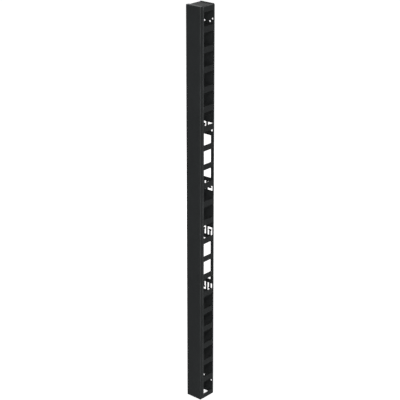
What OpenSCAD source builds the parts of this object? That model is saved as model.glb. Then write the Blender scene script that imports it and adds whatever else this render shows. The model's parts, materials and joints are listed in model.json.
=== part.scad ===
// Vertical cable manager for a server rack: a tall post folded from sheet steel,
// with a ladder of cable openings down each side and a hinged cover on the front.
// Millimetres. The origin is the bottom centre of the back mounting face, +Z is up,
// and the cover faces -Y. Rungs are counted from 0, the bottom rail.

/* [Rack] */
// Rack units that the ladder spans
rack_units = 42; // [30:2:48]
// Height of one rack unit
unit_h = 44.45; // [42:0.05:47]
// Rack units from one rung to the next
units_per_rung = 2; // [2:1:3]
// Height of a rung
rung_h = 27.8; // [24:0.1:30]
// Height of the top and bottom rails of the ladder
end_rail = 24.5; // [20:0.1:30]

/* [Frame] */
// Width over the two ladder sides
frame_w = 82; // [78:1:110]
// Depth from the back face to the front of the lips
frame_d = 75; // [70:1:130]
// Thickness of the frame's sheet
sheet = 1.2; // [1.2:0.1:2]
// Outer radius of the frame's bends
bend_r = 2.2; // [2.2:0.1:3]
// Width of the lip turned in at the front of each ladder side
lip_w = 15; // [14:0.5:18]
// Depth of the rear rail, behind the openings
rear_rail = 8.6; // [8:0.1:14]
// Depth of the front rail, ahead of the openings
front_rail = 6.4; // [5.5:0.1:8]
// Corner radius of a side opening
window_r = 2; // [1:0.5:4]
// How far the back panel and the cover rise above the top plate
top_rise = 3; // [1:0.5:5]

/* [Back panel] */
// Depth of the flange by which the back panel is welded to a ladder side
back_flange = 4; // [3:0.5:6]
// Width of a cable port
port_w = 46; // [30:1:50]
// Height of a cable port
port_h = 201; // [120:1:220]
// Distance between the middles of the two cable ports
port_spacing = 501; // [460:1:540]
// Corner radius of a cable port
port_r = 3; // [1:0.5:6]
// From a cable port's end to the strap slots
port_margin = 20.2; // [15:0.1:25]
// Width of the slot down each side of a strap tab's stem
slot_w = 8.6; // [7:0.1:9]
// Length of a strap tab's stem
stem_h = 22.4; // [18:0.1:26]
// Distance between those slots, from one to the next
slot_pitch = 18.7; // [17:0.1:19]
// Length of a strap tab's head
head_h = 8; // [6:0.5:10]
// Width of the gap beside a strap tab's head
head_gap = 5; // [4:0.1:5.5]
// Height of the slot past a strap tab's head
bar_h = 9.3; // [7:0.1:11]
// Diameter of a mounting hole
mount_d = 8; // [5:0.5:8.5]
// Distance between the two inner mounting holes
mount_inner = 31; // [24:1:40]
// Distance between the two outer mounting holes
mount_outer = 60; // [50:1:64]
// Height of the inner mounting holes from their end of the frame
mount_inner_z = 78; // [76:1:110]
// Height of the outer mounting holes from their end of the frame
mount_outer_z = 65; // [50:1:68]

/* [End plates] */
// Depth of the flanges folded round an end plate
end_flange = 12; // [11:0.5:16]
// Width of the rim round the base frame's cable opening
base_rim = 3.6; // [3.5:0.1:10]

/* [Cover] */
// Depth of the cover
cover_d = 17; // [14:0.5:24]
// Thickness of the cover's sheet
cover_sheet = 1.2; // [1:0.1:1.5]
// Outer radius of the cover's bends
cover_bend_r = 1.8; // [1.8:0.1:3]
// Width of the lip turned in at the back of each cover side
cover_lip = 12; // [11:0.5:14]
// Gap between the closed cover and the frame
cover_gap = 1; // [0.8:0.1:2]
// Height of the cover's lower end above the floor
floor_gap = 1; // [0.5:0.5:4]

/* [Hinges] */
// Diameter of a hinge barrel
barrel_d = 8; // [7.5:0.5:10]
// Length of one barrel
barrel_l = 24; // [18:1:30]
// Distance from the side of the frame out to the hinge axis
axis_out = 2; // [1.5:0.1:3]
// Diameter of the hinge pin
pin_d = 5; // [4:0.5:5.5]
// Length of pin held in each barrel
pin_grip = 14; // [10:1:16]
// Thickness of the hinge washer
washer_t = 1; // [0.6:0.1:2]
// Room round a barrel in the sheet that turns past it
barrel_room = 0.6; // [0.4:0.1:1]

/* [Catches] */
// Width of a catch case
catch_w = 9; // [8:0.5:10]
// Height of a catch case
catch_h = 20; // [16:0.5:20]
// Depth of a catch case behind the lip
catch_d = 11.5; // [10:0.5:14]
// Length of each mounting ear
ear_l = 10; // [8:0.5:12]
// Thickness of a mounting ear
ear_t = 2; // [1.5:0.1:2.5]
// Wall of the catch case
case_wall = 1.25; // [1:0.05:1.5]
// Thickness of a pole plate
pole_t = 1; // [0.8:0.1:1.5]
// Gap between the pole plates and the closed cover
pole_gap = 0.3; // [0.2:0.05:0.5]

/* [Fasteners] */
// Diameter of a frame rivet
rivet_d = 4; // [3:0.2:4.8]
// Diameter of a rivet's flush head
rivet_head_d = 7; // [6:0.2:7.6]
// Depth of a rivet's flush head
rivet_head_h = 0.9; // [0.7:0.1:1.1]
// Diameter of a catch screw
screw_d = 3; // [2.5:0.1:3.5]
// Diameter of a catch screw's head
screw_head_d = 5.6; // [5:0.1:6.5]
// Diameter of a rubber buffer
buffer_d = 8; // [6:0.5:9]
// Thickness of a rubber buffer
buffer_t = 0.7; // [0.4:0.1:0.7]

/* [Hidden] */
HINGES = ["bottom", "lower", "upper", "top"];
$fn = 48;
cut = 1;                // how far a cutting tool runs past a face
play = 0.05;            // clearance round a pin, rivet or screw in its hole
seat = 0.1;             // clearance round a case in its cut-out

window_count = floor(rack_units / units_per_rung);
rung_pitch = unit_h * units_per_rung;
window_h = rung_pitch - rung_h;
window_d = frame_d - front_rail - rear_rail;
frame_h = window_count * rung_pitch - rung_h + 2 * end_rail;
full_h = frame_h + top_rise;
mid_h = frame_h / 2;
front_y = -frame_d;                        // front face of the lips
cover_back_y = front_y - cover_gap;        // back face of the cover's lips
inner_x = frame_w / 2 - sheet;             // inner face of a ladder side
back_y = -sheet;                           // inner face of the back panel

// Hinges and catches share the heights of four rungs, spread evenly up the post
first_rung = 2;
hold_rungs = [for (i = [0:3]) round(first_rung + i * (window_count - 2 * first_rung) / 3)];
function rung_z(k) = end_rail - rung_h / 2 + k * rung_pitch;
hold_z = [for (k = hold_rungs) rung_z(k)];

hinge_x = -frame_w / 2 - axis_out;
hinge_y = front_y - cover_gap / 2;

pole_front_y = cover_back_y + pole_gap;
case_front_y = front_y - (cover_gap - pole_gap) / 2;
pocket_w = catch_w - 2 * case_wall;
pocket_h = catch_h - 2 * case_wall;
pocket_back_y = front_y + catch_d + sheet - case_wall;
magnet_setback = 1;                        // the magnet lies this far behind the pole plates' faces
catch_room = 0.8;                          // flat metal between a catch and the lip's bend
catch_x = frame_w / 2 - bend_r - catch_room - seat - catch_w / 2;
ear_hole_z = catch_h / 2 + ear_l / 2;
screw_tip = 0.2;                           // a screw's end stops this far inside the lip's face
screw_head_h = 1.8;

rivet_tail_w = 0.8;                        // how far a set tail spreads past the shank
rivet_tail_h = 1.6;
end_rivet_front = 16;                      // from the lips to the front rivet of an end plate
end_rivet_back = 20;                       // from the back face to its back rivet
end_rivet_y = [-frame_d + end_rivet_front, -end_rivet_back];
end_rivet_z = sheet + end_flange / 2;
flange_room = 0.5;                         // the back panel's flanges stop this far from the end plates
flange_end = sheet + end_flange + flange_room;

frame_black = "#2c2c2e";
plate_black = "#333336";
cover_black = "#29292b";
steel = "#8d9094";
zinc = "#a9acb0";
plastic = "#1d1d1f";
ferrite = "#4a4a4d";
rubber = "#18181a";

// ---- flat shapes ----

// A rectangle with the chosen corners rounded: low-low, high-low, high-high, low-high
module round_rect(size, r, corners = [1, 1, 1, 1]) {
    places = [[0, 0], [size.x, 0], [size.x, size.y], [0, size.y]];
    turns = [[1, 1], [-1, 1], [-1, -1], [1, -1]];
    difference() {
        square(size);
        for (i = [0:3]) if (corners[i] && r > 0)
            translate(places[i]) scale_corner(turns[i]) difference() {
                translate([-cut, -cut]) square(r + cut);
                translate([r, r]) circle(r);
            }
    }
}

module scale_corner(turn) {
    mirror([turn.x < 0 ? 1 : 0, 0]) mirror([0, turn.y < 0 ? 1 : 0]) children();
}

// ---- tools that cut along one axis ----

// Extrude a shape drawn in Y and Z along +X
module along_x(length) { rotate([90, 0, 90]) linear_extrude(length) children(); }

// Extrude a shape drawn in X and Z from y = 0 towards -Y
module along_y(length) { rotate([90, 0, 0]) linear_extrude(length) children(); }

// A tray folded from sheet: its floor at z = 0 and four walls standing on it
module tray(w, d, h, t, r) {
    module block(w, d, h, r) {
        intersection() {
            translate([-w / 2, 0, 0]) along_x(w) round_rect([d, h], r, [1, 1, 0, 0]);
            translate([0, d, 0]) along_y(d) translate([-w / 2, 0]) round_rect([w, h], r, [1, 1, 0, 0]);
            translate([-w / 2, 0, 0]) linear_extrude(h) round_rect([w, d], r);
        }
    }
    difference() {
        block(w, d, h, r);
        translate([0, t, t]) block(w - 2 * t, d - 2 * t, h, r - t);
    }
}

// ---- the frame ----

// The right ladder side before its catch cut-outs: a web with a lip turned in at the front
module ladder_side() {
    difference() {
        linear_extrude(frame_h) difference() {
            translate([frame_w / 2 - lip_w, front_y])
                round_rect([lip_w, frame_d], bend_r, [0, 1, 0, 0]);
            translate([frame_w / 2 - lip_w - cut, front_y + sheet])
                round_rect([lip_w - sheet + cut, frame_d], bend_r - sheet, [0, 1, 0, 0]);
        }
        for (k = [0:window_count - 1])
            translate([inner_x - cut, front_y + front_rail, end_rail + k * rung_pitch])
                along_x(sheet + 2 * cut) round_rect([window_d, window_h], window_r);
        at_rivets() rivet_hole();
    }
}

// Places on the right for the rivets of both end plates, each facing out
module at_rivets() {
    for (y = end_rivet_y, z = [end_rivet_z, frame_h - end_rivet_z]) at_rivet(y, z) children();
}

module at_rivet(y, z) { translate([frame_w / 2, y, z]) rotate([0, 90, 0]) children(); }

// A countersunk hole for a flush rivet, its rim at z = 0
module rivet_hole() {
    rotate_extrude() polygon([
        [0, cut], [rivet_head_d / 2 + play, cut], [rivet_head_d / 2 + play, 0],
        [rivet_d / 2 + play, -rivet_head_h], [rivet_d / 2 + play, -2 * sheet - cut], [0, -2 * sheet - cut]]);
}

module both_sides() {
    children();
    mirror([1, 0, 0]) children();
}

// Round seats for the hinge barrels: snug where a barrel is welded, wider where one turns past
module barrel_seats(lower_room, upper_room) {
    for (z = hold_z) translate([hinge_x, hinge_y, z]) {
        mirror([0, 0, 1]) barrel_seat(lower_room);
        barrel_seat(upper_room);
        cylinder(r = barrel_d / 2 + barrel_room, h = washer_t, center = true);
    }
}

module barrel_seat(room) {
    translate([0, 0, washer_t / 2]) cylinder(r = barrel_d / 2 + room, h = barrel_l + room);
}

module left_ladder() {
    color(frame_black) difference() {
        mirror([1, 0, 0]) ladder_side();
        barrel_seats(0, barrel_room);
    }
}

module right_ladder() {
    color(frame_black) difference() {
        ladder_side();
        for (z = hold_z) translate([catch_x, front_y + sheet + cut, z]) {
            along_y(sheet + 2 * cut) translate([-catch_w / 2 - seat, -catch_h / 2 - seat])
                square([catch_w + 2 * seat, catch_h + 2 * seat]);
            for (s = [-1, 1]) translate([0, 0, s * ear_hole_z]) rotate([90, 0, 0])
                cylinder(d = screw_d + 2 * play, h = sheet + 2 * cut);
        }
    }
}

// Port, strap slots and margins of one half of the back panel, from its middle outwards
module back_panel_cuts() {
    slots_z = port_h / 2 + port_margin;
    translate([0, 0, mid_h + port_spacing / 2]) {
        back_cut() translate([-port_w / 2, -port_h / 2]) round_rect([port_w, port_h], port_r);
        for (i = [-1, 1], turn = [0, 180]) rotate([0, turn, 0])
            translate([i * slot_pitch, 0, slots_z]) back_cut() strap_slot();
    }
    for (s = [-1, 1]) {
        mount_hole(s * mount_inner / 2, frame_h - mount_inner_z);
        mount_hole(s * mount_outer / 2, frame_h - mount_outer_z);
    }
}

// The cut-out round three sides of a T-shaped tab, whose stem starts at the bottom edge
module strap_slot() {
    w = slot_pitch + slot_w;
    stem_w = slot_pitch - slot_w;
    head_w = w - 2 * head_gap;
    corner_r = head_h / 5;
    difference() {
        translate([-w / 2, 0]) round_rect([w, stem_h + head_h + bar_h], corner_r);
        translate([-stem_w / 2, -cut]) square([stem_w, stem_h + 2 * cut]);
        translate([-head_w / 2, stem_h]) round_rect([head_w, head_h], corner_r);
    }
}

// Cut a shape drawn in X and Z right through the back panel
module back_cut() {
    translate([0, -back_y, 0]) along_y(3 * sheet) children();
}

module mount_hole(x, z) {
    translate([x, 0, z]) back_cut() circle(d = mount_d);
}

module back_profile() {
    difference() {
        translate([-inner_x, -back_flange - sheet])
            round_rect([2 * inner_x, back_flange + sheet], bend_r, [0, 0, 1, 1]);
        translate([-inner_x + sheet, -back_flange - sheet - cut])
            round_rect([2 * (inner_x - sheet), back_flange + cut], bend_r - sheet, [0, 0, 1, 1]);
    }
}

// A flat panel whose side flanges stop short of both end plates
module back_panel() {
    color(frame_black) difference() {
        union() {
            linear_extrude(full_h) intersection() {
                back_profile();
                translate([-inner_x, back_y]) square([2 * inner_x, sheet]);
            }
            translate([0, 0, flange_end]) linear_extrude(frame_h - 2 * flange_end) back_profile();
        }
        back_panel_cuts();
        translate([0, 0, frame_h]) mirror([0, 0, 1]) back_panel_cuts();
    }
}

// The end plate both ends share, lying on its floor with its flanges up
module end_plate() {
    difference() {
        translate([0, front_y + sheet, 0])
            tray(2 * inner_x, frame_d - 2 * sheet, end_flange + sheet, sheet, bend_r);
        both_sides() for (y = end_rivet_y) at_rivet(y, end_rivet_z) rivet_hole();
    }
}

module top_plate() {
    color(plate_black) translate([0, 0, frame_h]) mirror([0, 0, 1]) end_plate();
}

module base_frame() {
    opening_w = 2 * (inner_x - base_rim);
    opening_d = frame_d - 2 * sheet - 2 * base_rim;
    color(plate_black) difference() {
        end_plate();
        translate([-opening_w / 2, front_y + sheet + base_rim, -cut])
            linear_extrude(sheet + 2 * cut) round_rect([opening_w, opening_d], port_r);
    }
}

// A flush rivet along +Z: its head's face at z = 0, its shank below, a set tail at the far end
module rivet(grip) {
    r = rivet_d / 2;
    rotate_extrude() polygon([
        [0, 0], [rivet_head_d / 2, 0], [r, -rivet_head_h], [r, -grip],
        [r + rivet_tail_w, -grip], [r + rivet_tail_w, -grip - rivet_tail_h], [0, -grip - rivet_tail_h]]);
}

module frame_rivets() {
    color(frame_black) both_sides() at_rivets() rivet(2 * sheet);
}

// ---- the cover ----

// A long tray open at the back between two turned-in lips, its ends closed
module cover() {
    h = full_h - floor_gap;
    t = cover_sheet;
    r = cover_bend_r;
    module block(w, d, h, r) {
        intersection() {
            translate([-w / 2, 0, 0]) linear_extrude(h) round_rect([w, d], r);
            translate([-w / 2, 0, 0]) along_x(w) round_rect([d, h], r, [1, 0, 0, 1]);
        }
    }
    color(cover_black) difference() {
        translate([0, cover_back_y - cover_d, floor_gap]) difference() {
            block(frame_w, cover_d, h, r);
            translate([0, t, t]) block(frame_w - 2 * t, cover_d - 2 * t, h - 2 * t, r - t);
            translate([-frame_w / 2 + cover_lip, cover_d - t - cut, t])
                cube([frame_w - 2 * cover_lip, t + 2 * cut, h - 2 * t]);
        }
        barrel_seats(barrel_room, 0);
    }
}

// Rubber discs stuck to the right lip between the catches, for the cover to close on
module cover_buffers() {
    color(rubber) for (i = [0:2])
        translate([catch_x, front_y, (hold_z[i] + hold_z[i + 1]) / 2]) rotate([90, 0, 0])
            cylinder(d = buffer_d, h = min(buffer_t, cover_gap - pole_gap));
}

// ---- the hinges: a barrel welded to the frame, a barrel welded to the cover, a pin, a washer ----

module lower_barrel(i) {
    color(frame_black) translate([hinge_x, hinge_y, hold_z[i] - washer_t / 2]) mirror([0, 0, 1])
        barrel(pin_d / 2 + play / 2, pin_grip);
}

module upper_barrel(i) {
    color(cover_black) translate([hinge_x, hinge_y, hold_z[i] + washer_t / 2])
        barrel(pin_d / 2 + play, pin_grip + 1);
}

// A barrel that stands on its open end, its far end chamfered
module barrel(bore_r, bore_l) {
    r = barrel_d / 2;
    chamfer = 0.8;
    difference() {
        rotate_extrude() polygon([[0, 0], [r, 0], [r, barrel_l - chamfer], [r - chamfer, barrel_l], [0, barrel_l]]);
        translate([0, 0, -cut]) cylinder(r = bore_r, h = bore_l + cut);
    }
}

module hinge_pin(i) {
    chamfer = 0.6;
    r = pin_d / 2;
    top = washer_t / 2 + pin_grip;
    color(steel) translate([hinge_x, hinge_y, hold_z[i]]) rotate_extrude()
        polygon([[0, -top], [r, -top], [r, top - chamfer], [r - chamfer, top], [0, top]]);
}

module hinge_washer(i) {
    color(zinc) translate([hinge_x, hinge_y, hold_z[i]]) difference() {
        translate([0, 0, -washer_t / 2]) cylinder(d = barrel_d, h = washer_t - play);
        cylinder(d = pin_d + 4 * play, h = washer_t + 2 * cut, center = true);
    }
}

// ---- the catches: a plastic case with a magnet between two steel pole plates ----

module catch_case(i) {
    color(plastic) translate([catch_x, 0, hold_z[i]]) difference() {
        union() {
            translate([-catch_w / 2, front_y + sheet + catch_d, -catch_h / 2])
                along_y(front_y + sheet + catch_d - case_front_y) round_rect([catch_w, catch_h], 0.8);
            translate([-catch_w / 2, front_y + sheet + ear_t, -catch_h / 2 - ear_l])
                along_y(ear_t) round_rect([catch_w, catch_h + 2 * ear_l], catch_w / 4);
        }
        translate([-pocket_w / 2, pocket_back_y, -pocket_h / 2])
            along_y(pocket_back_y - case_front_y + cut) square([pocket_w, pocket_h]);
        for (s = [-1, 1]) translate([0, front_y + sheet + ear_t + cut, s * ear_hole_z])
            rotate([90, 0, 0]) cylinder(d = screw_d + 4 * play, h = ear_t + 2 * cut);
    }
}

module catch_magnet(i) {
    w = pocket_w - 2 * pole_t;
    l = pocket_back_y - pole_front_y - magnet_setback;
    color(ferrite) translate([catch_x - w / 2, pocket_back_y - l, hold_z[i] - pocket_h / 2])
        cube([w, l, pocket_h]);
}

module catch_poles(i) {
    l = pocket_back_y - pole_front_y;
    color(zinc) for (s = [-1, 1])
        translate([catch_x + s * (pocket_w - pole_t) / 2 - pole_t / 2, pole_front_y,
            hold_z[i] - pocket_h / 2]) cube([pole_t, l, pocket_h]);
}

module catch_screws() {
    seat_y = front_y + sheet + ear_t;
    color(zinc) for (z = hold_z, s = [-1, 1])
        translate([catch_x, seat_y, z + s * ear_hole_z]) rotate([-90, 0, 0]) rotate_extrude() {
            intersection() {
                translate([0, -screw_head_d / 2 + screw_head_h])
                    circle(screw_head_d / 2 + 0.3, $fn = 120);
                square([screw_head_d / 2, screw_head_h]);
            }
            translate([0, screw_tip - ear_t - sheet]) square([screw_d / 2, ear_t + sheet - screw_tip + 0.2]);
        }
}

back_panel();
left_ladder();
right_ladder();
top_plate();
base_frame();
frame_rivets();
cover();
cover_buffers();
catch_screws();
for (i = [0:3]) {
    lower_barrel(i);
    upper_barrel(i);
    hinge_pin(i);
    hinge_washer(i);
    catch_case(i);
    catch_magnet(i);
    catch_poles(i);
}
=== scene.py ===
import bpy
import bmesh
import json
import math
from mathutils import Matrix, Vector

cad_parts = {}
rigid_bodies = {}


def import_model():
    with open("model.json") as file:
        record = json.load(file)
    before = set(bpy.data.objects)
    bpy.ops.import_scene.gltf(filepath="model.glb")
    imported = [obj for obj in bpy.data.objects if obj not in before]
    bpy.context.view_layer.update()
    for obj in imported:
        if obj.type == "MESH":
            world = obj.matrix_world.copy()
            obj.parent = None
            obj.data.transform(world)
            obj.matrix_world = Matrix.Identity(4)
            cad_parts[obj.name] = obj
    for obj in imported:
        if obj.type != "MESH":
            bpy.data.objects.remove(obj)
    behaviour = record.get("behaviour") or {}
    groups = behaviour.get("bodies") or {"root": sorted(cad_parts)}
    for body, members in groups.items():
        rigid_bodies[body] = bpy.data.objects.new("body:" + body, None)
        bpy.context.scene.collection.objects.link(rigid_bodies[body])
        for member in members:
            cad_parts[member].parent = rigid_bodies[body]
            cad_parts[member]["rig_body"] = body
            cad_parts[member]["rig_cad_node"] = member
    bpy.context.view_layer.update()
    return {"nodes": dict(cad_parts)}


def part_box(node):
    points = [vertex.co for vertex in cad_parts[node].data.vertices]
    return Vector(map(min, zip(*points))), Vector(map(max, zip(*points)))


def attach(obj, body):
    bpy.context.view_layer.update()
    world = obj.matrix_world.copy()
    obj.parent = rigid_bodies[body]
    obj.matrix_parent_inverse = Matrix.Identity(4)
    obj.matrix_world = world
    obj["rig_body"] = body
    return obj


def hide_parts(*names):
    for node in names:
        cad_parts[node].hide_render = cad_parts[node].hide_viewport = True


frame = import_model()
nodes = frame["nodes"]
mm = 0.001
heights = ("bottom", "lower", "upper", "top")  # the four places that have a hinge and a catch
print("frame loaded:", len(nodes), "nodes")


# the camera comes first: it looks at the post from its front right, from well above

cameraSettings = {
    "place": (3.5754, -4.1416, 3.1714),
    "turn": 41.136,  # degrees to the left of straight ahead
    "dip": 21.819,   # degrees below the horizon
    "lens": 117.270,
}


def makeCamera(settings):
    bpy.ops.object.camera_add(location=settings["place"])
    camera = bpy.context.object
    camera.name = "viewCamera"
    camera.rotation_euler = (math.radians(90 - settings["dip"]), 0, math.radians(settings["turn"]))
    camera.data.lens = settings["lens"]
    camera.data.clip_end = 200
    bpy.context.scene.camera = camera


# shader graphs are written as sums and products of values


class Value:
    def __init__(self, graph, socket):
        self.graph = graph
        self.socket = socket

    def __add__(self, other):
        return self.graph.maths("ADD", self, other)

    def __radd__(self, other):
        return self.graph.maths("ADD", other, self)

    def __sub__(self, other):
        return self.graph.maths("SUBTRACT", self, other)

    def __rsub__(self, other):
        return self.graph.maths("SUBTRACT", other, self)

    def __mul__(self, other):
        return self.graph.maths("MULTIPLY", self, other)


class Finish:
    def __init__(self, name):
        self.material = bpy.data.materials.new(name)
        self.material.use_nodes = True
        self.tree = self.material.node_tree
        self.shader = self.tree.nodes["Principled BSDF"]
        self.place = self.add("ShaderNodeTexCoord").outputs["Object"]

    def feed(self, socket, value):
        if isinstance(value, Value):
            value = value.socket
        if isinstance(value, bpy.types.NodeSocket):
            self.tree.links.new(value, socket)
        else:
            socket.default_value = value

    def add(self, kind, settings=None, inputs=None):
        made = self.tree.nodes.new(kind)
        for key, value in (settings or {}).items():
            if key == "stops":
                for element, (position, grey) in zip(made.color_ramp.elements, value):
                    element.position = position
                    element.color = (grey, grey, grey, 1)
            else:
                setattr(made, key, value)
        for key, value in (inputs or {}).items():
            self.feed(made.inputs[key], value)
        return made

    def maths(self, operation, first, second=0.0, clamp=False):
        settings = {"operation": operation, "use_clamp": clamp}
        made = self.add("ShaderNodeMath", settings, {0: first, 1: second})
        return Value(self, made.outputs[0])

    def noise(self, size, detail=2.0, stretch=(1, 1, 1), shift=(0, 0, 0)):
        # size is the width of one patch, in metres
        moved = self.add("ShaderNodeMapping", None, {
            "Vector": self.place, "Scale": stretch, "Location": shift})
        made = self.add("ShaderNodeTexNoise", None, {
            "Vector": moved.outputs[0], "Scale": 1 / size, "Detail": detail, "Roughness": 0.55})
        return Value(self, made.outputs[0])

    def contrast(self, value, low, high):
        made = self.add("ShaderNodeValToRGB", {"stops": ((low, 0), (high, 1))}, {0: value})
        return Value(self, made.outputs[0])

    def axes(self):
        split = self.add("ShaderNodeSeparateXYZ", None, {0: self.place})
        return [Value(self, socket) for socket in split.outputs]

    def blendColours(self, factor, first, second):
        # each colour is three numbers or the output of an earlier blend
        ends = [each if isinstance(each, bpy.types.NodeSocket) else (*each, 1) for each in (first, second)]
        made = self.add("ShaderNodeMix", {"data_type": "RGBA"}, {0: factor, 6: ends[0], 7: ends[1]})
        return made.outputs[2]

    def bump(self, height, depth, under=None):
        # height runs from 0 to 1 over a relief that is depth metres deep
        inputs = {"Strength": 1.0, "Distance": depth, "Height": height}
        if under is not None:
            inputs["Normal"] = under
        return self.add("ShaderNodeBump", None, inputs).outputs[0]

    def set(self, **values):
        for name, value in values.items():
            self.feed(self.shader.inputs[name.replace("_", " ")], value)


# the black powder coat, with a painted highlight laid in patches on the bends and cut ends, which are also
# a little smoother

coatSettings = {
    "dark": (0.0232, 0.0252, 0.0258),
    "light": (0.0319, 0.0346, 0.0353),
    # the colour of the painted highlight on the bends and cut ends
    "edgeHighlight": (0.1398, 0.1472, 0.1490),
    "roughness": 0.5,
    "specular": 0.06,
    "driftSize": 160 * mm,
    "cloudSize": 35 * mm,
    # the size of the patches that the painted highlight is broken into
    "highlightPatchSize": 20 * mm,
    "peelSize": 1.3 * mm,
    "peelDepth": 0.010 * mm,
    "grainSize": 0.28 * mm,
    "grainDepth": 0.004 * mm,
    "endReach": 0.9 * mm,
}


def bendHighlightMask(finish, halfWidth, depth, reach):
    # 1 on the two upright bends at x = +-halfWidth and y = depth, falling to 0 at reach: where the painted
    # highlight goes
    x, y = finish.axes()[:2]
    across = finish.maths("ABSOLUTE", x) - halfWidth
    along = y - depth
    distance = finish.maths("SQRT", across * across + along * along)
    return finish.maths("SUBTRACT", 1.0, distance * (1 / reach), clamp=True)


def endHighlightMask(finish, low, high, reach):
    # 1 on the cut ends at z = low and z = high, falling to 0 at reach: where the painted highlight goes
    z = finish.axes()[2]
    inside = finish.maths("ABSOLUTE", z - (low + high) / 2)
    return finish.maths("SUBTRACT", 1.0, ((high - low) / 2 - inside) * (1 / reach), clamp=True)


def powderCoat(name, settings, bend=None, ends=None, shift=0.0):
    finish = Finish(name)
    drift = finish.noise(settings["driftSize"], 3, (1, 1, 0.35), (shift, 0, 0))
    cloud = finish.noise(settings["cloudSize"], 4, (1, 1, 0.6), (0, shift, 0))
    peel = finish.noise(settings["peelSize"], 1)
    grain = finish.noise(settings["grainSize"], 2)
    mottle = finish.contrast(drift * 0.5 + cloud * 0.35 + grain * 0.15, 0.36, 0.66)
    colour = finish.blendColours(mottle, settings["dark"], settings["light"])
    roughness = settings["roughness"] + cloud * 0.10 + drift * 0.06 - 0.08
    if bend:
        # painted highlight: the bends and cut ends are given a lighter colour, in patches
        edgeHighlight = finish.maths(
            "MAXIMUM", bendHighlightMask(finish, *bend), endHighlightMask(finish, *ends, settings["endReach"]))
        patchyHighlight = edgeHighlight * finish.contrast(finish.noise(settings["highlightPatchSize"], 3, (1, 1, 0.2)), 0.2, 0.7)
        colour = finish.blendColours(patchyHighlight, colour, settings["edgeHighlight"])
        roughness = roughness - edgeHighlight * 0.10
    skin = finish.bump(peel, settings["peelDepth"])
    finish.set(
        Base_Color=colour, Roughness=roughness, Specular_IOR_Level=settings["specular"],
        Normal=finish.bump(grain, settings["grainDepth"], skin))
    return finish.material


def zincPlate():
    finish = Finish("zincPlate")
    patches = finish.contrast(finish.noise(3 * mm, 3), 0.3, 0.7)
    scuffs = finish.noise(0.5 * mm, 4, (1, 1, 4))
    finish.set(
        Base_Color=finish.blendColours(patches, (0.50, 0.52, 0.55), (0.66, 0.67, 0.68)),
        Metallic=1.0, Roughness=0.26 + scuffs * 0.16, Normal=finish.bump(scuffs, 0.003 * mm))
    return finish.material


def groundSteel():
    finish = Finish("groundSteel")
    rings = finish.noise(0.3 * mm, 2, (0.05, 0.05, 3))
    stain = finish.contrast(finish.noise(4 * mm, 3), 0.35, 0.75)
    finish.set(
        Base_Color=finish.blendColours(stain, (0.56, 0.56, 0.57), (0.42, 0.41, 0.39)),
        Metallic=1.0, Roughness=0.22 + rings * 0.14, Normal=finish.bump(rings, 0.003 * mm))
    return finish.material


def mouldedPlastic():
    finish = Finish("mouldedPlastic")
    grain = finish.noise(0.22 * mm, 3)
    flow = finish.noise(6 * mm, 2, (1, 1, 0.4))
    finish.set(
        Base_Color=finish.blendColours(flow, (0.022, 0.022, 0.023), (0.034, 0.034, 0.035)),
        Roughness=0.46 + grain * 0.12, Specular_IOR_Level=0.4, Normal=finish.bump(grain, 0.008 * mm))
    return finish.material


def ferriteBlock():
    finish = Finish("ferriteBlock")
    speckle = finish.contrast(finish.noise(0.35 * mm, 4), 0.45, 0.62)
    finish.set(
        Base_Color=finish.blendColours(speckle, (0.040, 0.041, 0.044), (0.085, 0.086, 0.090)),
        Roughness=0.62, Specular_IOR_Level=0.5, Normal=finish.bump(speckle, 0.010 * mm))
    return finish.material


def softRubber():
    finish = Finish("softRubber")
    grain = finish.noise(0.18 * mm, 3)
    bloom = finish.contrast(finish.noise(2 * mm, 2), 0.45, 0.75)
    finish.set(
        Base_Color=finish.blendColours(bloom, (0.012, 0.012, 0.012), (0.026, 0.026, 0.025)),
        Roughness=0.74 + grain * 0.10, Specular_IOR_Level=0.35, Normal=finish.bump(grain, 0.010 * mm))
    return finish.material


# modelling helpers


def clearSelection():
    for each in list(bpy.context.selected_objects):
        each.select_set(False)


def makeActive(piece):
    clearSelection()
    piece.select_set(True)
    bpy.context.view_layer.objects.active = piece


def editMesh(piece):
    makeActive(piece)
    bpy.ops.object.mode_set(mode="EDIT")
    bpy.ops.mesh.select_all(action="DESELECT")


def endEdit():
    bpy.ops.object.mode_set(mode="OBJECT")


def selectFaces(piece, wanted):
    bpy.ops.mesh.select_mode(type="FACE")
    bpy.ops.mesh.select_all(action="DESELECT")
    shape = bmesh.from_edit_mesh(piece.data)
    for face in shape.faces:
        if wanted(face):
            face.select_set(True)
    bmesh.update_edit_mesh(piece.data)


def selectEdges(piece, wanted):
    bpy.ops.mesh.select_mode(type="EDGE")
    bpy.ops.mesh.select_all(action="DESELECT")
    shape = bmesh.from_edit_mesh(piece.data)
    for edge in shape.edges:
        if wanted(edge):
            edge.select_set(True)
    bmesh.update_edit_mesh(piece.data)


def applyModifier(piece, kind, **settings):
    makeActive(piece)
    modifier = piece.modifiers.new(kind.lower(), kind)
    for key, value in settings.items():
        setattr(modifier, key, value)
    bpy.ops.object.modifier_apply(modifier=modifier.name)


def settle(piece):
    makeActive(piece)
    bpy.ops.object.transform_apply(location=True, rotation=True, scale=True)


def joinPieces(parts, name):
    clearSelection()
    for part in parts:
        part.select_set(True)
    bpy.context.view_layer.objects.active = parts[0]
    bpy.ops.object.join()
    parts[0].name = name
    return parts[0]


def copyTo(piece, place):
    # a copy with its own mesh, moved by the matrix place
    makeActive(piece)
    bpy.ops.object.duplicate()
    copy = bpy.context.object
    copy.data.transform(place)
    return copy


def dress(piece, material, body):
    piece.data.materials.clear()
    piece.data.materials.append(material)
    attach(piece, body)


# the sheet parts keep the frame's shape, with every cut edge rounded as the coat leaves it

edgeSettings = {
    "round": 0.22 * mm,
    "merge": 0.002 * mm,
    "flat": 0.3,    # degrees between faces that count as one
    "sharp": 34,    # degrees at an edge from which it is rounded
    "smooth": 40,   # degrees at an edge below which it is shaded smooth
}


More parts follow.
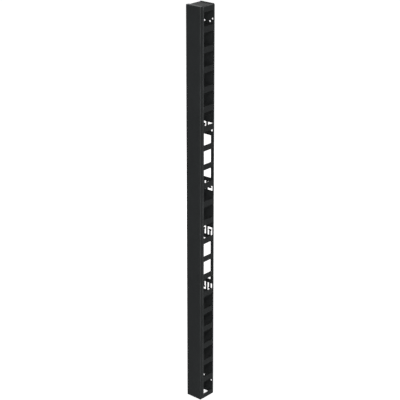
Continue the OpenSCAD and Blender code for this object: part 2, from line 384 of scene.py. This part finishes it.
def softenEdges(node, name, material, body, width=edgeSettings["round"]):
    makeActive(nodes[node])
    bpy.ops.object.duplicate()
    piece = bpy.context.object
    piece.name = name
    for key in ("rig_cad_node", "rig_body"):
        del piece[key]
    piece.parent = None
    bpy.ops.object.mode_set(mode="EDIT")
    bpy.ops.mesh.select_all(action="SELECT")
    bpy.ops.mesh.remove_doubles(threshold=edgeSettings["merge"])
    bpy.ops.mesh.dissolve_limited(angle_limit=math.radians(edgeSettings["flat"]))
    endEdit()
    applyModifier(
        piece, "BEVEL", width=width, segments=2, limit_method="ANGLE",
        angle_limit=math.radians(edgeSettings["sharp"]), use_clamp_overlap=True)
    bpy.ops.object.shade_smooth_by_angle(angle=math.radians(edgeSettings["smooth"]))
    applyModifier(piece, "WEIGHTED_NORMAL", keep_sharp=True)
    dress(piece, material, body)
    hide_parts(node)
    print(name, len(piece.data.polygons), "faces")


# the floor and the light

studioSettings = {
    "floorSize": 80,
    "floorColour": 0.90,
    "floorGlow": (0.84, 1.0),  # how pale the floor looks at the object and away from it
    "glowReach": 2.5,          # metres from the object to where the floor needs its full glow
    "roomLight": 0.02,         # the room is dark beside the white backdrop and the lamps
    "lamps": (
        # name, place, size, power
        ("softLamp", (2.362, -2.717, 3.6), 0.5, 36),
        ("middleLamp", (2.633, -2.455, 1.6), 1.0, 24),
        ("highLamp", (1.690, -3.179, 3.6), 1.0, 24),
        ("lowLamp", (2.912, -2.116, 0.5), 0.8, 13),
        ("backdropLamp", (-2.546, 2.546, 3.2), 1.6, 4.4),
        ("rearLamp", (-0.932, 3.477, 1.0), 1.6, 18),
        ("leftLamp", (-3.383, 1.231, 1.0), 1.6, 18),
    ),
    "pointLit": (0, -0.05, 1.0),
}


def showsBackground(tree):
    # 1 for what the camera sees, either straight or in metal and glass
    path = tree.nodes.new("ShaderNodeLightPath")
    shown = path.outputs["Is Camera Ray"]
    for ray in ("Is Glossy Ray", "Is Transmission Ray"):
        either = tree.nodes.new("ShaderNodeMath")
        either.operation = "MAXIMUM"
        tree.links.new(shown, either.inputs[0])
        tree.links.new(path.outputs[ray], either.inputs[1])
        shown = either.outputs[0]
    return shown


def makeFloor(settings):
    bpy.ops.mesh.primitive_plane_add(size=settings["floorSize"])
    floor = bpy.context.object
    floor.name = "floor"
    finish = Finish("paleFloor")
    grey = settings["floorColour"]
    near, far = settings["floorGlow"]
    x, y = finish.axes()[:2]
    distance = finish.maths("SQRT", x * x + y * y)
    away = finish.maths("MULTIPLY", distance, 1 / settings["glowReach"], clamp=True)
    glow = (near + away * (far - near)) * Value(finish, showsBackground(finish.tree))
    finish.set(
        Base_Color=(grey, grey, grey, 1), Roughness=0.9, Specular_IOR_Level=0.1,
        Emission_Color=glow, Emission_Strength=1.0)
    floor.data.materials.append(finish.material)


def makeRoom(settings):
    world = bpy.data.worlds.new("studio")
    bpy.context.scene.world = world
    world.use_nodes = True
    tree = world.node_tree
    dim = settings["roomLight"]
    shade = tree.nodes.new("ShaderNodeMix")
    shade.data_type = "RGBA"
    shade.inputs[6].default_value = (dim, dim, dim, 1)
    shade.inputs[7].default_value = (1, 1, 1, 1)
    tree.links.new(showsBackground(tree), shade.inputs[0])
    tree.links.new(shade.outputs[2], tree.nodes["Background"].inputs["Color"])


def makeLamp(target, name, place, size, power):
    bpy.ops.object.light_add(type="AREA", location=place)
    lamp = bpy.context.object
    lamp.name = name
    lamp.data.size = size
    lamp.data.energy = power
    lamp.rotation_euler = (Vector(target) - Vector(place)).to_track_quat("-Z", "Y").to_euler()


makeCamera(cameraSettings)
makeFloor(studioSettings)
makeRoom(studioSettings)
for lampSettings in studioSettings["lamps"]:
    makeLamp(studioSettings["pointLit"], *lampSettings)
print("camera and studio made")

low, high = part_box("cover")
halfWidth = high.x
frameLow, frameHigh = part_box("right_ladder")
# the painted highlight follows each part's upright bends and cut ends; on the frame it reaches 4 mm from
# the bend
coverCoat = powderCoat("coverCoat", coatSettings, (halfWidth, low.y, 2.2 * mm), (low.z, high.z))
frameCoat = powderCoat(
    "frameCoat", coatSettings, (halfWidth, frameLow.y, 4.0 * mm), (frameLow.z, frameHigh.z), shift=3.1)
plateCoat = powderCoat("plateCoat", coatSettings, shift=7.7)
zinc = zincPlate()
steel = groundSteel()
plastic = mouldedPlastic()
ferrite = ferriteBlock()
rubber = softRubber()

softenEdges("cover", "coverPanel", coverCoat, "cover")
for node, name in (
        ("left_ladder", "leftLadderSide"),
        ("right_ladder", "rightLadderSide"),
        ("back_panel", "portedBackPanel")):
    softenEdges(node, name, frameCoat, "frame")
for node, name in (("top_plate", "closedTopPlate"), ("base_frame", "openBaseFrame")):
    softenEdges(node, name, plateCoat, "frame")

# the small hardware keeps the frame's shape too, with its edges broken

softenEdges("frame_rivets", "flushRivets", frameCoat, "frame", 0.12 * mm)
softenEdges("cover_buffers", "rubberBuffers", rubber, "frame", 0.25 * mm)
for height in heights:
    for part, kind, material, slot, body, width in (
            ("lower_barrel", "LowerBarrel", frameCoat, "frame_coat", "frame", 0.25),
            ("upper_barrel", "UpperBarrel", coverCoat, "cover_coat", "cover", 0.25),
            ("hinge_pin", "HingePin", steel, "pin_steel", "frame", 0.15),
            ("hinge_washer", "HingeWasher", zinc, "zinc_steel", "frame", 0.12),
            ("catch_case", "CatchCase", plastic, "black_plastic", "frame", 0.35),
            ("catch_magnet", "CatchMagnet", ferrite, "ferrite", "frame", 0.20),
            ("catch_poles", "CatchPoles", zinc, "zinc_steel", "frame", 0.12)):
        softenEdges(height + "_" + part, height + kind, material, body, width * mm)
print("hardware softened")


# a catch screw: a domed head with a cross recess, seated on the ear of its case

screwSettings = {
    "headRadius": 2.8 * mm,
    "headHeight": 1.8 * mm,
    "edgeRound": 0.95 * mm,
    "shankRadius": 1.45 * mm,
    "shankChamfer": 0.35 * mm,
    "shankBite": 0.1 * mm,    # how far the shank goes into the head
    "slotLong": 3.1 * mm,
    "slotWide": 0.72 * mm,
    "slotDeep": 1.1 * mm,
    "slotTaper": 0.55,
    "slotRound": 0.06 * mm,
    "earReach": 5 * mm,       # from a catch case's end to the screw in its ear
}


def addCylinder(radius, low, high, sides=40):
    bpy.ops.mesh.primitive_cylinder_add(
        radius=radius, depth=high - low, vertices=sides, location=(0, 0, (low + high) / 2))
    piece = bpy.context.object
    settle(piece)
    return piece


def addBlock(sizes, middle):
    bpy.ops.mesh.primitive_cube_add(size=1, location=middle)
    piece = bpy.context.object
    piece.scale = sizes
    settle(piece)
    return piece


def makeScrew(settings, shankEnd):
    # the head stands on z = 0 and the shank goes down to -shankEnd
    top = settings["headHeight"]
    head = addCylinder(settings["headRadius"], 0, top)
    editMesh(head)
    selectEdges(head, lambda edge: all(vert.co.z > top * 0.9 for vert in edge.verts))
    bpy.ops.mesh.bevel(offset=settings["edgeRound"], segments=5, profile=0.5, affect="EDGES")
    endEdit()
    shank = addCylinder(settings["shankRadius"], -shankEnd, settings["shankBite"], 28)
    editMesh(shank)
    selectEdges(shank, lambda edge: all(vert.co.z < -shankEnd * 0.9 for vert in edge.verts))
    bpy.ops.mesh.bevel(offset=settings["shankChamfer"], segments=1, affect="EDGES")
    endEdit()
    long, wide, taper = settings["slotLong"], settings["slotWide"], settings["slotTaper"]
    for sizes in ((long, wide), (wide, long)):
        tool = addBlock((*sizes, 2 * settings["slotDeep"]), (0, 0, top))
        editMesh(tool)
        selectFaces(tool, lambda face: face.normal.z < -0.9)
        bpy.ops.transform.resize(value=(taper, taper, 1))
        endEdit()
        applyModifier(head, "BOOLEAN", operation="DIFFERENCE", solver="EXACT", object=tool)
        bpy.data.objects.remove(tool)
    applyModifier(
        head, "BEVEL", width=settings["slotRound"], segments=1, limit_method="ANGLE",
        angle_limit=math.radians(50))
    screw = joinPieces([head, shank], "screwPattern")
    makeActive(screw)
    bpy.ops.object.shade_smooth_by_angle(angle=math.radians(35))
    return screw


catchLow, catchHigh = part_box("bottom_catch_case")
screwLow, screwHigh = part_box("catch_screws")
catchX = (catchLow.x + catchHigh.x) / 2
seatY = screwHigh.y - screwSettings["headHeight"]
pattern = makeScrew(screwSettings, seatY - screwLow.y)
screws = []
for height in heights:
    low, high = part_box(height + "_catch_case")
    for z, turn in ((low.z + screwSettings["earReach"], 0.3), (high.z - screwSettings["earReach"], 0.9)):
        turned = Matrix.Rotation(math.radians(-90), 4, "X") @ Matrix.Rotation(turn + z, 4, "Z")
        screws.append(copyTo(pattern, Matrix.Translation((catchX, seatY, z)) @ turned))
bpy.data.objects.remove(pattern)
screws = joinPieces(screws, "crossHeadScrews")
dress(screws, zinc, "frame")
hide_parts("catch_screws")
print("screws made:", len(screws.data.polygons), "faces")


# a weld laid along +Z: overlapping drops, melted into one bead

weldSettings = {
    "hingeRadius": 0.90 * mm,
    "hingeShort": 1.5 * mm,    # a hinge weld stops this far from each end of its barrel
    "seamRadius": 0.74 * mm,
    "seamLength": 22 * mm,
    "seamCount": 12,
    "seamStart": 60 * mm,
    "seamGap": 0.03 * mm,      # kept between a seam weld and the back mounting plane
    "hingeLean": 60,           # degrees round the bead at which it meets its barrel
    "step": 0.95,              # drops to one radius
    "grain": 4.5,              # voxels to one radius
}


def makeBead(name, length, radius, settings):
    bpy.ops.mesh.primitive_uv_sphere_add(segments=18, ring_count=10, radius=radius)
    bead = bpy.context.object
    bead.name = name
    step = radius * settings["step"]
    applyModifier(
        bead, "ARRAY", count=int(length / step), use_relative_offset=False,
        use_constant_offset=True, constant_offset_displace=(0, 0, step))
    applyModifier(
        bead, "REMESH", mode="VOXEL", voxel_size=radius / settings["grain"], use_smooth_shade=True)
    applyModifier(bead, "SMOOTH", factor=0.5, iterations=2)
    return bead


def layBeads(bead, places, name, material, body):
    beads = [copyTo(bead, Matrix.Translation(place)) for place in places]
    welds = joinPieces(beads, name)
    dress(welds, material, body)
    print(name, len(welds.data.polygons), "faces")


barrelLow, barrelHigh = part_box("bottom_lower_barrel")
hingeX, hingeY = (barrelLow.x + barrelHigh.x) / 2, (barrelLow.y + barrelHigh.y) / 2
barrelRadius = (barrelHigh.x - barrelLow.x) / 2
radius = weldSettings["hingeRadius"]
inward = -halfWidth - hingeX
reach = math.sqrt(barrelRadius * barrelRadius - inward * inward)
beadX = -halfWidth - radius / 2
beadY = reach + radius * math.sin(math.radians(weldSettings["hingeLean"]))
hingeLength = barrelHigh.z - barrelLow.z - 2 * weldSettings["hingeShort"]
hingeBead = makeBead("hingeBead", hingeLength, radius, weldSettings)
for name, part, side, material, slot, body in (
        ("frameHingeWelds", "_lower_barrel", 1, frameCoat, "frame_coat", "frame"),
        ("coverHingeWelds", "_upper_barrel", -1, coverCoat, "cover_coat", "cover")):
    starts = [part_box(height + part)[0].z + weldSettings["hingeShort"] + radius for height in heights]
    layBeads(hingeBead, [(beadX, hingeY + side * beadY, z) for z in starts], name, material, body)
bpy.data.objects.remove(hingeBead)

radius = weldSettings["seamRadius"]
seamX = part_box("base_frame")[1].x - radius
seamBead = makeBead("seamBead", weldSettings["seamLength"], radius, weldSettings)
spread = frameHigh.z - 2 * weldSettings["seamStart"] - weldSettings["seamLength"]
seamStarts = [
    weldSettings["seamStart"] + spread * step / (weldSettings["seamCount"] - 1)
    for step in range(weldSettings["seamCount"])]
for name, side in (("leftSeamWelds", -1), ("rightSeamWelds", 1)):
    places = [(side * seamX, -radius - weldSettings["seamGap"], z) for z in seamStarts]
    layBeads(seamBead, places, name, frameCoat, "frame")
bpy.data.objects.remove(seamBead)

bpy.context.scene.view_settings.view_transform = "Standard"
